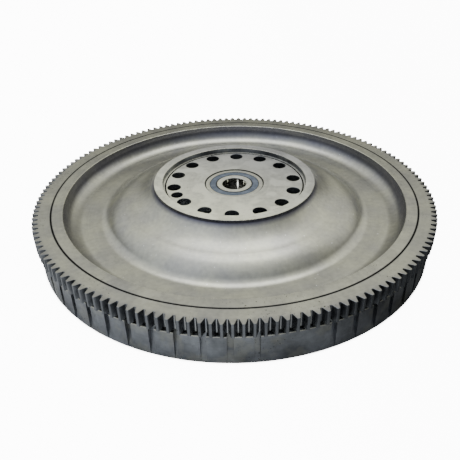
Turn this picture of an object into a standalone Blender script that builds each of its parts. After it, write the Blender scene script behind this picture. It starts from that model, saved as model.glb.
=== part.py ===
"""Heavy-duty engine flywheel: cast disc, starter ring gear and sealed pilot bearing.

Metres, +Z along the crankshaft axis. The clutch side is at z = 0 and the crankshaft side
faces up. The origin is the centre of the clutch-side face.
"""

import math

import bmesh
import bpy
from mathutils import Matrix

OBJECT_NAME = "engine_flywheel"
GAP = 0.0003  # clearance between pieces that touch on the real object
CUTTER_OVERRUN = 0.005  # how far a cutter goes past the face that it opens

# Rim and disc
RIM_RADIUS = 0.2425
RIM_TOP_Z = 0.0532
RIM_INNER_RADIUS = 0.2106
RIM_TOP_CHAMFER = 0.0010
RIM_BOTTOM_CHAMFER = 0.0005
DISH_FILLET_RADIUS = 0.0195
DISC_STEPS = 60

# Hub, on the crankshaft side
HUB_FACE_Z = 0.0644
HUB_LIP_Z = 0.0708
HUB_LIP_RADIUS = 0.0998
HUB_RECESS_RADIUS = 0.0889
HUB_LIP_EDGE = 0.0004
HUB_LIP_DROP = 0.0030
RELIEF_OUTER_RADIUS = 0.0868
RELIEF_WIDTH = 0.0016
RELIEF_DEPTH = 0.0024

# The slope from the lip down to the dish floor: arcs that follow on from each other, each with
# its radius, the slope in degrees that it ends at and its number of points
SLOPE_ARCS = (
    (0.0015, -46.0, 2),  # the fillet under the lip
    (0.0602, -11.0, 4),  # the hollow shoulder, flatter and flatter
    (0.0490, -45.0, 5),  # over the round edge
    (0.0170, 0.0, 4),  # and out on to the dish floor
)

# Clutch side
COVER_FACE_INNER_RADIUS = 0.2186
FRICTION_OUTER_RADIUS = 0.2164
FRICTION_GROOVE_DEPTH = 0.0012
POCKET_RADIUS = 0.1190
POCKET_CEILING_Z = 0.0364
POCKET_DRAFT = 0.0025
POCKET_FILLET = 0.0060
POCKET_CHAMFER = 0.0015
BEARING_SHOULDER_RADIUS = 0.0310

# Bolt holes to the crankshaft: two arcs of seven holes, with a wider gap between the arcs
BOLT_CIRCLE_RADIUS = 0.0754
BOLT_HOLE_RADIUS = 0.0083
BOLTS_PER_ARC = 7
BOLT_PITCH_DEG = 25.0
BOLT_ARC_GAP_DEG = 30.0
BOLT_GAP_ANGLE_DEG = 22.4
DOWEL_HOLE_RADIUS = 0.0070
HOLE_SIDES = 12

# Threaded holes for the clutch cover
COVER_BOLT_CIRCLE_RADIUS = 0.2275
COVER_BOLT_HOLE_RADIUS = 0.0050
COVER_BOLTS = 12
COVER_BOLT_SIDES = 10
COVER_BOLT_DEPTH = 0.0240
COVER_BOLT_ANGLE_DEG = 13.5

# Timing slots in the rim: a slot every 6 degrees, with two left out at every third of a turn
SLOT_POSITIONS = 60
SLOT_ANGLE_DEG = 4.5
SLOT_THIRD = 20
SLOTS_LEFT_OUT = (6, 7)
SLOT_WIDTH = 0.0063
SLOT_TOP_DEPTH = 0.0080
SLOT_BOTTOM_DEPTH = 0.0006

# Starter ring gear, 8 teeth per inch of pitch diameter
TEETH = 153
GEAR_MODULE = 0.0254 / 8
GEAR_DEDENDUM = 1.25
PRESSURE_ANGLE_DEG = 20.0
GEAR_THICKNESS = 0.0172
GEAR_BORE_RADIUS = 0.2246
GEAR_BORE_SIDES = 90
GEAR_PHASE_DEG = 0.88
GEAR_SHOULDER_RADIUS = 0.2310
GEAR_UNDERCUT = 0.0018
GEAR_JOINT_CHAMFER = 0.0005

# Pilot bearing: sealed deep-groove ball bearing, 30 x 72 x 19 mm
BEARING_BORE_RADIUS = 0.0150
BEARING_RADIUS = 0.0360
BEARING_WIDTH = 0.0190
BEARING_CHAMFER = 0.0010
BEARING_RECESS = 0.00085
BALL_RADIUS = 0.00615
BALL_PITCH_RADIUS = 0.0255
BALLS = 8
RACE_RADIUS = BALL_RADIUS + 0.00025
INNER_LAND_RADIUS = 0.0222
OUTER_LAND_RADIUS = 0.0290
SEAL_SEAT_INNER_RADIUS = 0.0215
SEAL_SEAT_OUTER_RADIUS = 0.0310
SEAL_SEAT_DEPTH = 0.0023
SEAL_RECESS = 0.0003
SEAL_THICKNESS = 0.0017
SEAL_LIP = 0.0012
SEAL_EDGE = 0.0004
BEARING_STEPS = 32
SEAL_STEPS = 32

# Riveted ribbon cage
CAGE_POCKET_RADIUS = BALL_RADIUS + 0.00035
CAGE_SHEET = 0.0006
CAGE_INNER_RADIUS = 0.0239
CAGE_OUTER_RADIUS = 0.0271
CAGE_HALF_GAP = 0.00015
POCKET_SEGMENTS = 8
RIVET_RADIUS = 0.0007
RIVET_HOLE_RADIUS = 0.0010
RIVET_HEAD_RADIUS = 0.0014
RIVET_HEAD_HEIGHT = 0.0007
RIVET_STEPS = 8

PITCH_RADIUS = TEETH * GEAR_MODULE / 2
GEAR_BOTTOM_Z = RIM_TOP_Z - GEAR_THICKNESS
SHOULDER_Z = GEAR_BOTTOM_Z - GAP
LOWER_RIM_TOP_Z = GEAR_BOTTOM_Z - GEAR_UNDERCUT
BEARING_TOP_Z = HUB_FACE_Z - BEARING_RECESS
BEARING_MID_Z = BEARING_TOP_Z - BEARING_WIDTH / 2
BALL_SPACING = math.tau / BALLS

CAST_IRON = ("machined_cast_iron", (0.33, 0.325, 0.31), 0.42, 1.0)
GEAR_STEEL = ("ring_gear_steel", (0.36, 0.355, 0.34), 0.38, 1.0)
BEARING_STEEL = ("bearing_steel", (0.62, 0.61, 0.58), 0.22, 1.0)
BALL_STEEL = ("ball_steel", (0.72, 0.72, 0.72), 0.08, 1.0)
CAGE_STEEL = ("cage_steel", (0.50, 0.49, 0.46), 0.35, 1.0)
SEAL_RUBBER = ("seal_rubber", (0.16, 0.20, 0.25), 0.55, 0.0)


def clear_scene():
    for obj in list(bpy.data.objects):
        bpy.data.objects.remove(obj, do_unlink=True)


def new_collection(name):
    collection = bpy.data.collections.new(name)
    bpy.context.scene.collection.children.link(collection)
    return collection


def new_material(owner, name, colour, roughness, metallic):
    """A material of the owner's own, so that each piece can be coloured by itself."""
    material = bpy.data.materials.new(f"{owner}_{name}")
    material.use_nodes = True
    shader = material.node_tree.nodes["Principled BSDF"]
    shader.inputs["Base Color"].default_value = (*colour, 1.0)
    shader.inputs["Roughness"].default_value = roughness
    shader.inputs["Metallic"].default_value = metallic
    material.diffuse_color = (*colour, 1.0)
    return material


def new_object(name, data, finish):
    obj = bpy.data.objects.new(name, data)
    bpy.data.collections[OBJECT_NAME].objects.link(obj)
    obj.data.materials.append(new_material(name, *finish))
    return obj


def new_cutter(name, bm):
    mesh = bpy.data.meshes.new(name)
    bm.to_mesh(mesh)
    bm.free()
    cutter = bpy.data.objects.new(name, mesh)
    bpy.data.collections["cutters"].objects.link(cutter)
    cutter.hide_render = True
    cutter.display_type = "WIRE"
    return cutter


def add_cut(obj, cutter):
    cut = obj.modifiers.new(cutter.name, "BOOLEAN")
    cut.operation = "DIFFERENCE"
    cut.solver = "EXACT"
    cut.object = cutter


def settle(obj):
    """Turns the modified shape into the object's own mesh, smooth with its real edges sharp."""
    bpy.context.view_layer.update()
    shape = obj.evaluated_get(bpy.context.evaluated_depsgraph_get())
    mesh = bpy.data.meshes.new_from_object(shape)
    obj.modifiers.clear()
    obj.data = mesh
    mesh.name = obj.name
    mesh.shade_smooth()
    mesh.set_sharp_from_angle(angle=math.radians(32))


def turned(name, points, closed, steps, finish):
    """A profile of (radius, height) points, turned round the vertical axis."""
    bm = bmesh.new()
    verts = [bm.verts.new((radius, 0.0, height)) for radius, height in points]
    pairs = list(zip(verts, verts[1:]))
    if closed:
        pairs.append((verts[-1], verts[0]))
    for pair in pairs:
        bm.edges.new(pair)
    mesh = bpy.data.meshes.new(name)
    bm.to_mesh(mesh)
    bm.free()
    obj = new_object(name, mesh, finish)
    screw = obj.modifiers.new("turn", "SCREW")
    screw.axis = "Z"
    screw.angle = math.tau
    screw.steps = steps
    screw.render_steps = steps
    screw.use_merge_vertices = True
    screw.merge_threshold = 0.00001
    return obj


def arc(centre, radius, start_deg, end_deg, count):
    """Points on an arc in the profile plane, both ends included."""
    angles = [
        math.radians(start_deg + (end_deg - start_deg) * i / (count - 1)) for i in range(count)
    ]
    return [
        (centre[0] + radius * math.cos(a), centre[1] + radius * math.sin(a)) for a in angles
    ]


def arcs_onward(start, slope_deg, arcs):
    """Points along arcs that run outwards from start, each one starting where the last ends."""
    points = [start]
    slope = math.radians(slope_deg)
    for radius, end_deg, count in arcs:
        turn = math.radians(end_deg) - slope
        bend = math.copysign(radius, turn)
        x, z = points[-1]
        for i in range(1, count + 1):
            now = slope + turn * i / count
            along = bend * (math.sin(now) - math.sin(slope))
            up = bend * (math.cos(slope) - math.cos(now))
            points.append((x + along, z + up))
        slope += turn
    return points


def about_axis(angle, radius, height):
    return Matrix.Rotation(angle, 4, "Z") @ Matrix.Translation((radius, 0.0, height))


def hole_cutter(name, places, radius, low, high, sides):
    """Upright cylinders at (angle, circle radius) places, in one cutter."""
    bm = bmesh.new()
    for angle, circle in places:
        bmesh.ops.create_cone(
            bm,
            cap_ends=True,
            segments=sides,
            radius1=radius,
            radius2=radius,
            depth=high - low,
            matrix=about_axis(angle, circle, (low + high) / 2),
        )
    return new_cutter(name, bm)


def rim_profile():
    """From the joint with the ring gear, down the outside and in to the friction face."""
    seat = GEAR_BORE_RADIUS - GAP
    return [
        (seat - GEAR_JOINT_CHAMFER, RIM_TOP_Z),
        (seat, RIM_TOP_Z - GEAR_JOINT_CHAMFER),
        (seat, SHOULDER_Z),
        (GEAR_SHOULDER_RADIUS, SHOULDER_Z),
        (GEAR_SHOULDER_RADIUS, LOWER_RIM_TOP_Z),
        (RIM_RADIUS - RIM_TOP_CHAMFER, LOWER_RIM_TOP_Z),
        (RIM_RADIUS, LOWER_RIM_TOP_Z - RIM_TOP_CHAMFER),
        (RIM_RADIUS, RIM_BOTTOM_CHAMFER),
        (RIM_RADIUS - RIM_BOTTOM_CHAMFER, 0.0),
    ]


def clutch_side_profile():
    """Across the clutch side, from the cover face to the bearing's shoulder."""
    ceiling_start = POCKET_RADIUS - POCKET_DRAFT - POCKET_FILLET
    fillet_centre = (ceiling_start, POCKET_CEILING_Z - POCKET_FILLET)
    return [
        (COVER_FACE_INNER_RADIUS, 0.0),
        (COVER_FACE_INNER_RADIUS, FRICTION_GROOVE_DEPTH),
        (FRICTION_OUTER_RADIUS, FRICTION_GROOVE_DEPTH),
        (FRICTION_OUTER_RADIUS, 0.0),
        (POCKET_RADIUS + POCKET_CHAMFER, 0.0),
        (POCKET_RADIUS, POCKET_CHAMFER),
        *arc(fillet_centre, POCKET_FILLET, 0, 90, 3),
        (BEARING_SHOULDER_RADIUS, POCKET_CEILING_Z),
    ]


def hub_profile():
    """Up through the bearing seat, across the hub face and over the lip."""
    seat = BEARING_RADIUS + GAP
    relief_inner = RELIEF_OUTER_RADIUS - RELIEF_WIDTH
    relief_floor = HUB_FACE_Z - RELIEF_DEPTH
    seat_floor = BEARING_TOP_Z - BEARING_WIDTH - GAP
    return [
        (BEARING_SHOULDER_RADIUS, seat_floor),
        (seat, seat_floor),
        (seat, HUB_FACE_Z),
        (relief_inner, HUB_FACE_Z),
        (relief_inner, relief_floor),
        (RELIEF_OUTER_RADIUS, relief_floor),
        (RELIEF_OUTER_RADIUS, HUB_FACE_Z),
        (HUB_RECESS_RADIUS, HUB_FACE_Z),
        (HUB_RECESS_RADIUS, HUB_LIP_Z),
        (HUB_LIP_RADIUS - HUB_LIP_EDGE, HUB_LIP_Z),
        (HUB_LIP_RADIUS, HUB_LIP_Z - HUB_LIP_EDGE),
    ]


def dish_profile():
    """Down the slope, across the dish floor and up the rim's inner wall."""
    slope = arcs_onward((HUB_LIP_RADIUS, HUB_LIP_Z - HUB_LIP_DROP), -90.0, SLOPE_ARCS)
    floor_z = slope[-1][1]
    fillet_centre = (RIM_INNER_RADIUS - DISH_FILLET_RADIUS, floor_z + DISH_FILLET_RADIUS)
    return [
        *slope,
        *arc(fillet_centre, DISH_FILLET_RADIUS, -90, 0, 5),
        (RIM_INNER_RADIUS, RIM_TOP_Z),
    ]


def bolt_angles():
    """Seven angles each way from the middle of one of the two wider gaps."""
    first = BOLT_ARC_GAP_DEG / 2
    steps = [first + BOLT_PITCH_DEG * i for i in range(BOLTS_PER_ARC)]
    return [math.radians(BOLT_GAP_ANGLE_DEG + side * step) for side in (1, -1) for step in steps]


def slot_cutter():
    """Boxes whose inner faces lean out, so that each slot gets shallower towards the clutch side."""
    top = RIM_RADIUS - SLOT_TOP_DEPTH
    bottom = RIM_RADIUS - SLOT_BOTTOM_DEPTH
    lean = math.atan2(bottom - top, LOWER_RIM_TOP_Z)
    reach = 2 * SLOT_TOP_DEPTH
    size = Matrix.Diagonal((reach, SLOT_WIDTH, LOWER_RIM_TOP_Z + 4 * CUTTER_OVERRUN, 1.0))
    outward = Matrix.Translation((reach / 2, 0.0, 0.0))
    bm = bmesh.new()
    for i in range(SLOT_POSITIONS):
        if i % SLOT_THIRD in SLOTS_LEFT_OUT:
            continue
        angle = math.radians(SLOT_ANGLE_DEG) + math.tau * i / SLOT_POSITIONS
        place = about_axis(angle, (top + bottom) / 2, LOWER_RIM_TOP_Z / 2)
        tilt = Matrix.Rotation(-lean, 4, "Y")
        bmesh.ops.create_cube(bm, size=1.0, matrix=place @ tilt @ outward @ size)
    return new_cutter("timing_slots", bm)


def make_disc():
    points = rim_profile() + clutch_side_profile() + hub_profile() + dish_profile()
    disc = turned("flywheel_disc", points, True, DISC_STEPS, CAST_IRON)
    bolts = [(angle, BOLT_CIRCLE_RADIUS) for angle in bolt_angles()]
    dowel_angle = math.radians(BOLT_GAP_ANGLE_DEG + 180.0)
    cover = [
        (
            math.radians(COVER_BOLT_ANGLE_DEG) + math.tau * i / COVER_BOLTS,
            COVER_BOLT_CIRCLE_RADIUS,
        )
        for i in range(COVER_BOLTS)
    ]
    low = POCKET_CEILING_Z - CUTTER_OVERRUN
    high = HUB_FACE_Z + CUTTER_OVERRUN
    add_cut(disc, hole_cutter("bolt_holes", bolts, BOLT_HOLE_RADIUS, low, high, HOLE_SIDES))
    dowel = [(dowel_angle, BOLT_CIRCLE_RADIUS)]
    add_cut(disc, hole_cutter("dowel_hole", dowel, DOWEL_HOLE_RADIUS, low, high, HOLE_SIDES))
    threaded = hole_cutter(
        "cover_bolt_holes",
        cover,
        COVER_BOLT_HOLE_RADIUS,
        -CUTTER_OVERRUN,
        COVER_BOLT_DEPTH,
        COVER_BOLT_SIDES,
    )
    add_cut(disc, threaded)
    add_cut(disc, slot_cutter())
    settle(disc)


def half_thickness(radius):
    """Half of the angle that a tooth spans at this radius, on an involute flank."""
    pressure = math.radians(PRESSURE_ANGLE_DEG)
    base = PITCH_RADIUS * math.cos(pressure)
    here = math.acos(base / radius)
    involute = math.tan(pressure) - pressure - (math.tan(here) - here)
    return math.pi / (2 * TEETH) + involute


def gear_outline():
    tip = PITCH_RADIUS + GEAR_MODULE
    root = PITCH_RADIUS - GEAR_DEDENDUM * GEAR_MODULE
    flank = [(radius, half_thickness(radius)) for radius in (root, PITCH_RADIUS, tip)]
    tooth = [(radius, -half) for radius, half in flank] + list(reversed(flank))
    points = []
    for i in range(TEETH):
        middle = math.radians(GEAR_PHASE_DEG) + math.tau * i / TEETH
        for radius, turn in tooth:
            points.append((radius * math.cos(middle + turn), radius * math.sin(middle + turn)))
    return points


def make_ring_gear():
    bore = [
        (GEAR_BORE_RADIUS * math.cos(a), GEAR_BORE_RADIUS * math.sin(a))
        for a in (math.tau * i / GEAR_BORE_SIDES for i in range(GEAR_BORE_SIDES))
    ]
    outline = bpy.data.curves.new("ring_gear", "CURVE")
    outline.dimensions = "2D"
    outline.fill_mode = "BOTH"
    outline.extrude = GEAR_THICKNESS / 2
    for points in (gear_outline(), bore):
        spline = outline.splines.new("POLY")
        spline.points.add(len(points) - 1)
        for point, (x, y) in zip(spline.points, points):
            point.co = (x, y, 0.0, 1.0)
        spline.use_cyclic_u = True
    gear = new_object("ring_gear", outline, GEAR_STEEL)
    gear.location.z = GEAR_BOTTOM_Z + GEAR_THICKNESS / 2


def make_outer_ring():
    half = BEARING_WIDTH / 2
    groove = math.degrees(math.acos((OUTER_LAND_RADIUS - BALL_PITCH_RADIUS) / RACE_RADIUS))
    race = arc((BALL_PITCH_RADIUS, 0.0), RACE_RADIUS, -groove, groove, 5)
    points = [
        (BEARING_RADIUS - BEARING_CHAMFER, half),
        (BEARING_RADIUS, half - BEARING_CHAMFER),
        (BEARING_RADIUS, BEARING_CHAMFER - half),
        (BEARING_RADIUS - BEARING_CHAMFER, -half),
        (SEAL_SEAT_OUTER_RADIUS, -half),
        (SEAL_SEAT_OUTER_RADIUS, SEAL_SEAT_DEPTH - half),
        (OUTER_LAND_RADIUS, SEAL_SEAT_DEPTH - half),
        *race,
        (OUTER_LAND_RADIUS, half - SEAL_SEAT_DEPTH),
        (SEAL_SEAT_OUTER_RADIUS, half - SEAL_SEAT_DEPTH),
        (SEAL_SEAT_OUTER_RADIUS, half),
    ]
    ring = turned("bearing_outer_ring", points, True, BEARING_STEPS, BEARING_STEEL)
    ring.location.z = BEARING_MID_Z
    settle(ring)


def make_inner_ring():
    half = BEARING_WIDTH / 2
    groove = math.degrees(math.acos((BALL_PITCH_RADIUS - INNER_LAND_RADIUS) / RACE_RADIUS))
    race = arc((BALL_PITCH_RADIUS, 0.0), RACE_RADIUS, 180 - groove, 180 + groove, 5)
    points = [
        (SEAL_SEAT_INNER_RADIUS, half),
        (SEAL_SEAT_INNER_RADIUS, half - SEAL_SEAT_DEPTH),
        (INNER_LAND_RADIUS, half - SEAL_SEAT_DEPTH),
        *race,
        (INNER_LAND_RADIUS, SEAL_SEAT_DEPTH - half),
        (SEAL_SEAT_INNER_RADIUS, SEAL_SEAT_DEPTH - half),
        (SEAL_SEAT_INNER_RADIUS, -half),
        (BEARING_BORE_RADIUS + BEARING_CHAMFER, -half),
        (BEARING_BORE_RADIUS, BEARING_CHAMFER - half),
        (BEARING_BORE_RADIUS, half - BEARING_CHAMFER),
        (BEARING_BORE_RADIUS + BEARING_CHAMFER, half),
    ]
    ring = turned("bearing_inner_ring", points, True, BEARING_STEPS, BEARING_STEEL)
    ring.location.z = BEARING_MID_Z
    settle(ring)


def make_seal(name, side):
    """A rubber-faced seal, a little below the bearing's face on the side given by its sign."""
    outer = SEAL_SEAT_OUTER_RADIUS - GAP
    inner = SEAL_SEAT_INNER_RADIUS + GAP
    top = BEARING_WIDTH / 2 - SEAL_RECESS
    points = [
        (outer, top - SEAL_EDGE),
        (outer, top - SEAL_THICKNESS),
        (inner + SEAL_LIP, top - SEAL_THICKNESS),
        (inner, top - SEAL_THICKNESS / 2),
        (inner, top - SEAL_EDGE),
        (inner + SEAL_LIP, top - SEAL_EDGE),
        (inner + SEAL_LIP + SEAL_EDGE, top),
        (outer - SEAL_EDGE, top),
    ]
    seal = turned(name, points, True, SEAL_STEPS, SEAL_RUBBER)
    seal.location.z = BEARING_MID_Z
    if side < 0:
        seal.rotation_euler.x = math.pi
    settle(seal)


def make_balls():
    for i in range(BALLS):
        bm = bmesh.new()
        bmesh.ops.create_uvsphere(bm, u_segments=12, v_segments=8, radius=BALL_RADIUS)
        mesh = bpy.data.meshes.new(f"bearing_ball_{i + 1}")
        bm.to_mesh(mesh)
        bm.free()
        mesh.shade_smooth()
        ball = new_object(mesh.name, mesh, BALL_STEEL)
        place = about_axis(BALL_SPACING * i, BALL_PITCH_RADIUS, BEARING_MID_Z)
        ball.location = place.translation


def cage_wave():
    """(angle, height) round one cage half: over each ball, then flat to the next one."""
    points = []
    for i in range(BALLS):
        for step in range(POCKET_SEGMENTS + 1):
            turn = math.pi * (1 - step / POCKET_SEGMENTS)
            along = CAGE_POCKET_RADIUS * math.cos(turn)
            height = max(CAGE_POCKET_RADIUS * math.sin(turn), CAGE_HALF_GAP)
            points.append((BALL_SPACING * i + along / BALL_PITCH_RADIUS, height))
    return points


def make_cage_half(name, side, rivet_holes):
    bm = bmesh.new()
    rows = []
    for angle, height in cage_wave():
        inner = bm.verts.new(about_axis(angle, CAGE_INNER_RADIUS, height).translation)
        outer = bm.verts.new(about_axis(angle, CAGE_OUTER_RADIUS, height).translation)
        rows.append((inner, outer))
    for (inner, outer), (next_inner, next_outer) in zip(rows, rows[1:] + rows[:1]):
        bm.faces.new((inner, next_inner, next_outer, outer))
    bmesh.ops.recalc_face_normals(bm, faces=bm.faces)
    if bm.faces[POCKET_SEGMENTS].normal.z < 0:
        bmesh.ops.reverse_faces(bm, faces=bm.faces)
    mesh = bpy.data.meshes.new(name)
    bm.to_mesh(mesh)
    bm.free()
    half = new_object(name, mesh, CAGE_STEEL)
    sheet = half.modifiers.new("sheet", "SOLIDIFY")
    sheet.thickness = CAGE_SHEET
    sheet.offset = 1.0
    sheet.use_even_offset = True
    half.location.z = BEARING_MID_Z
    if side < 0:
        half.rotation_euler.x = math.pi
    add_cut(half, rivet_holes)
    settle(half)


def rivet_places():
    return [(BALL_SPACING * (i + 0.5), BALL_PITCH_RADIUS) for i in range(BALLS)]


def make_cage():
    low = BEARING_MID_Z - BALL_RADIUS / 2
    high = BEARING_MID_Z + BALL_RADIUS / 2
    holes = hole_cutter("rivet_holes", rivet_places(), RIVET_HOLE_RADIUS, low, high, RIVET_STEPS)
    make_cage_half("bearing_cage_crank_half", 1, holes)
    make_cage_half("bearing_cage_clutch_half", -1, holes)


def make_rivets():
    seat = CAGE_HALF_GAP + CAGE_SHEET + GAP
    top = seat + RIVET_HEAD_HEIGHT
    points = [
        (0.0, top),
        (RIVET_HEAD_RADIUS / 2, top),
        (RIVET_HEAD_RADIUS, seat),
        (RIVET_RADIUS, seat),
        (RIVET_RADIUS, -seat),
        (RIVET_HEAD_RADIUS, -seat),
        (RIVET_HEAD_RADIUS / 2, -top),
        (0.0, -top),
    ]
    for i, (angle, radius) in enumerate(rivet_places()):
        rivet = turned(f"cage_rivet_{i + 1}", points, False, RIVET_STEPS, CAGE_STEEL)
        rivet.location = about_axis(angle, radius, BEARING_MID_Z).translation
        settle(rivet)


def main():
    clear_scene()
    new_collection(OBJECT_NAME)
    new_collection("cutters")
    make_disc()
    make_ring_gear()
    make_outer_ring()
    make_inner_ring()
    make_balls()
    make_cage()
    make_rivets()
    make_seal("bearing_seal_crank_side", 1)
    make_seal("bearing_seal_clutch_side", -1)


main()
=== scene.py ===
"""Looks of the engine flywheel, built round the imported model.

Metres, +Z along the crankshaft axis, the clutch side at z = 0. Each CAD node is replaced by a
finer piece of the same size, in the same place, on the same body.
"""

import math

import bmesh
import bpy
from mathutils import Matrix, Vector


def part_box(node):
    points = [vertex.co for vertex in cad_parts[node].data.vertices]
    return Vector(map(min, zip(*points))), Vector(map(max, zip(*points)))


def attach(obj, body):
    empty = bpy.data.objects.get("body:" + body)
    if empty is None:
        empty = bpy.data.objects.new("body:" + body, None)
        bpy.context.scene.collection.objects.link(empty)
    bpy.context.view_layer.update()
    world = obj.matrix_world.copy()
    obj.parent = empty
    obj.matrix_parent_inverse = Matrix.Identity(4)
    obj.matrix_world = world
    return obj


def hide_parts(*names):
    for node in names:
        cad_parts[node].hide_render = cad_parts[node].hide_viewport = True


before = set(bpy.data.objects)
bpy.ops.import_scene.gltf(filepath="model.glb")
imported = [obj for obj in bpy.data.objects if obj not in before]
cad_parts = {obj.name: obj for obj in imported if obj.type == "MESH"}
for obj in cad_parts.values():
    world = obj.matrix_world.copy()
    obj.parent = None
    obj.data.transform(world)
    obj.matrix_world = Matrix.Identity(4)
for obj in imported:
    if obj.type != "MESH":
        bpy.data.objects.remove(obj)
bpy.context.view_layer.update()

_, disc_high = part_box("flywheel_disc")
gear_low, gear_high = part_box("ring_gear")
ring_low, ring_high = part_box("bearing_outer_ring")

GAP = 0.0003  # the clearance that the CAD leaves between touching pieces
OVERRUN = 0.005  # how far a cutter goes past the face that it opens
CONE_OVERRUN = 0.001  # the same, where the cutter widens as it leaves the face
FINE, SMALL, MEDIUM, BROAD = 0.0002, 0.0003, 0.0004, 0.0005  # roundings of plain corners

# Rim and disc
RIM_RADIUS = 0.2425
RIM_TOP_Z = gear_high.z
RIM_INNER_RADIUS = 0.2106
DISH_FILLET = 0.0195
RIM_INNER_ROUNDING = 0.0006
RIM_OUTER_ROUNDING = 0.0008
DISC_STEPS = 360

# Hub
HUB_FACE_Z = 0.0644
HUB_LIP_Z = disc_high.z
HUB_LIP_RADIUS = 0.0998
HUB_LIP_DROP = 0.0030
HUB_RECESS_RADIUS = 0.0889
RELIEF_OUTER_RADIUS = 0.0868
RELIEF_WIDTH = 0.0016
RELIEF_DEPTH = 0.0024
SEAT_CHAMFER = 0.0009

# The slope from the lip down to the dish floor, as arcs that follow on from each other: the
# radius, the slope in degrees at the arc's end and the number of points
SLOPE_ARCS = (
    (0.0015, -46.0, 5),
    (0.0602, -11.0, 24),
    (0.0490, -45.0, 24),
    (0.0170, 0.0, 20),
)

# Clutch side
COVER_FACE_INNER_RADIUS = 0.2186
FRICTION_OUTER_RADIUS = 0.2164
FRICTION_GROOVE_DEPTH = 0.0012
POCKET_RADIUS = 0.1190
POCKET_CEILING_Z = 0.0364
POCKET_DRAFT = 0.0025
POCKET_FILLET = 0.0060
POCKET_CHAMFER = 0.0015
SHOULDER_RADIUS = 0.0310

# Holes to the crankshaft
BOLT_CIRCLE_RADIUS = 0.0754
BOLT_HOLE_RADIUS = 0.0083
BOLTS_PER_ARC = 7
BOLT_PITCH_DEG = 25.0
BOLT_ARC_GAP_DEG = 30.0
BOLT_GAP_ANGLE_DEG = 22.4
DOWEL_HOLE_RADIUS = 0.0070
HOLE_CHAMFER = 0.0003
HOLE_SIDES = 48

# Threaded holes for the clutch cover
COVER_CIRCLE_RADIUS = 0.2275
COVER_HOLE_RADIUS = 0.0050
COVER_HOLES = 12
COVER_HOLE_DEPTH = 0.0240
COVER_HOLE_ANGLE_DEG = 13.5
COVER_HOLE_SIDES = 24
THREAD_PITCH = 0.0015
THREAD_DEPTH = 0.0006
THREAD_CLEARANCE = 0.0001  # keeps the thread inside the CAD's plain hole

# Timing slots
SLOT_POSITIONS = 60
SLOT_ANGLE_DEG = 4.5
SLOT_THIRD = 20
SLOTS_LEFT_OUT = (6, 7)
SLOT_WIDTH = 0.0063
SLOT_TOP_DEPTH = 0.0080
SLOT_BOTTOM_DEPTH = 0.0003
SLOT_FLARE = 0.0002

# Ring gear
TEETH = 153
MODULE = 0.0254 / 8
DEDENDUM = 1.25
PRESSURE_ANGLE = math.radians(20.0)
GEAR_BORE_RADIUS = 0.2246
GEAR_PHASE = math.radians(0.88)
GEAR_SHOULDER_RADIUS = 0.2310
GEAR_UNDERCUT = 0.0018
ROOT_FILLET = 0.0010
ROOT_FILLET_STEPS = 4
FLANK_STEPS = 8
TOOTH_EDGE = 0.00025
BORE_EDGE = 0.0008
BORE_POINTS_PER_TOOTH = 4
GEAR_FACE_SPLIT_RADIUS = GEAR_BORE_RADIUS + 0.012  # quads inside it, a polygon per tooth outside

PITCH_RADIUS = TEETH * MODULE / 2
SHOULDER_Z = gear_low.z - GAP
LOWER_RIM_TOP_Z = gear_low.z - GEAR_UNDERCUT

# Pilot bearing
BEARING_RADIUS = ring_high.x
BORE_RADIUS = 0.0150
BEARING_TOP_Z = ring_high.z
BEARING_MID_Z = (ring_high.z + ring_low.z) / 2
HALF_WIDTH = (ring_high.z - ring_low.z) / 2
BEARING_CHAMFER = 0.0010
BALL_RADIUS = 0.00615
BALL_PITCH_RADIUS = 0.0255
BALLS = 8
BALL_POINTS = 33
BALL_STEPS = 64
RACE_RADIUS = BALL_RADIUS + 0.00025
RACE_POINTS = 24
INNER_LAND_RADIUS = 0.0222
OUTER_LAND_RADIUS = 0.0290
SEAL_SEAT_INNER_RADIUS = 0.0215
SEAL_SEAT_OUTER_RADIUS = 0.0310
SEAL_SEAT_DEPTH = 0.0023
SEAL_RECESS = 0.0003
SEAL_THICKNESS = 0.0017
SEAL_LIP = 0.0012
SEAL_LIP_ROUNDING = 0.0001
SEAL_EDGE = 0.0004
SEAL_GROOVE_RADIUS = 0.0276
SEAL_GROOVE_WIDTH = 0.0011
SEAL_GROOVE_DEPTH = 0.0002
BEARING_STEPS = 160

# Cage
CAGE_POCKET_RADIUS = BALL_RADIUS + 0.00035
CAGE_SHEET = 0.0006
CAGE_INNER_RADIUS = 0.0239
CAGE_OUTER_RADIUS = 0.0271
CAGE_HALF_GAP = 0.00015
CAGE_EDGE = 0.0001
CAGE_EDGE_ANGLE = math.radians(50)
POCKET_SEGMENTS = 24
LINK_SEGMENTS = 6
RIVET_RADIUS = 0.0007
RIVET_HOLE_RADIUS = 0.0010
RIVET_HEAD_RADIUS = 0.0014
RIVET_HEAD_HEIGHT = 0.0007
RIVET_DOME_STEPS = 9
RIVET_STEPS = 32

SHARP_ANGLE = math.radians(30)
ARC_FINENESS = 70  # a rounding's steps for each radian of turn and root of a metre
BRIGHT_ROUNDING = 0.001  # a rounding under this is worn bright

# Finishes, as indices into a piece's material slots. A piece's list says what each one means.
# On the disc, the gear and the seals, HOLE is near-black: shade painted into holes, grooves, the
# joint and the seals' gaps.
TURNED, SATIN, SIDE, CAST, EDGE, HOLE, HUB = range(7)


# ---------------------------------------------------------------- meshes


def settle(obj):
    """Turns the modified shape into the object's own mesh, with normals led by its large faces."""
    obj.data.shade_smooth()
    obj.data.set_sharp_from_angle(angle=SHARP_ANGLE)
    weighted = obj.modifiers.new("normals", "WEIGHTED_NORMAL")
    weighted.keep_sharp = True
    weighted.weight = 100
    bpy.context.view_layer.update()
    shape = obj.evaluated_get(bpy.context.evaluated_depsgraph_get())
    mesh = bpy.data.meshes.new_from_object(shape)
    obj.modifiers.clear()
    obj.data = mesh
    mesh.name = obj.name


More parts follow.
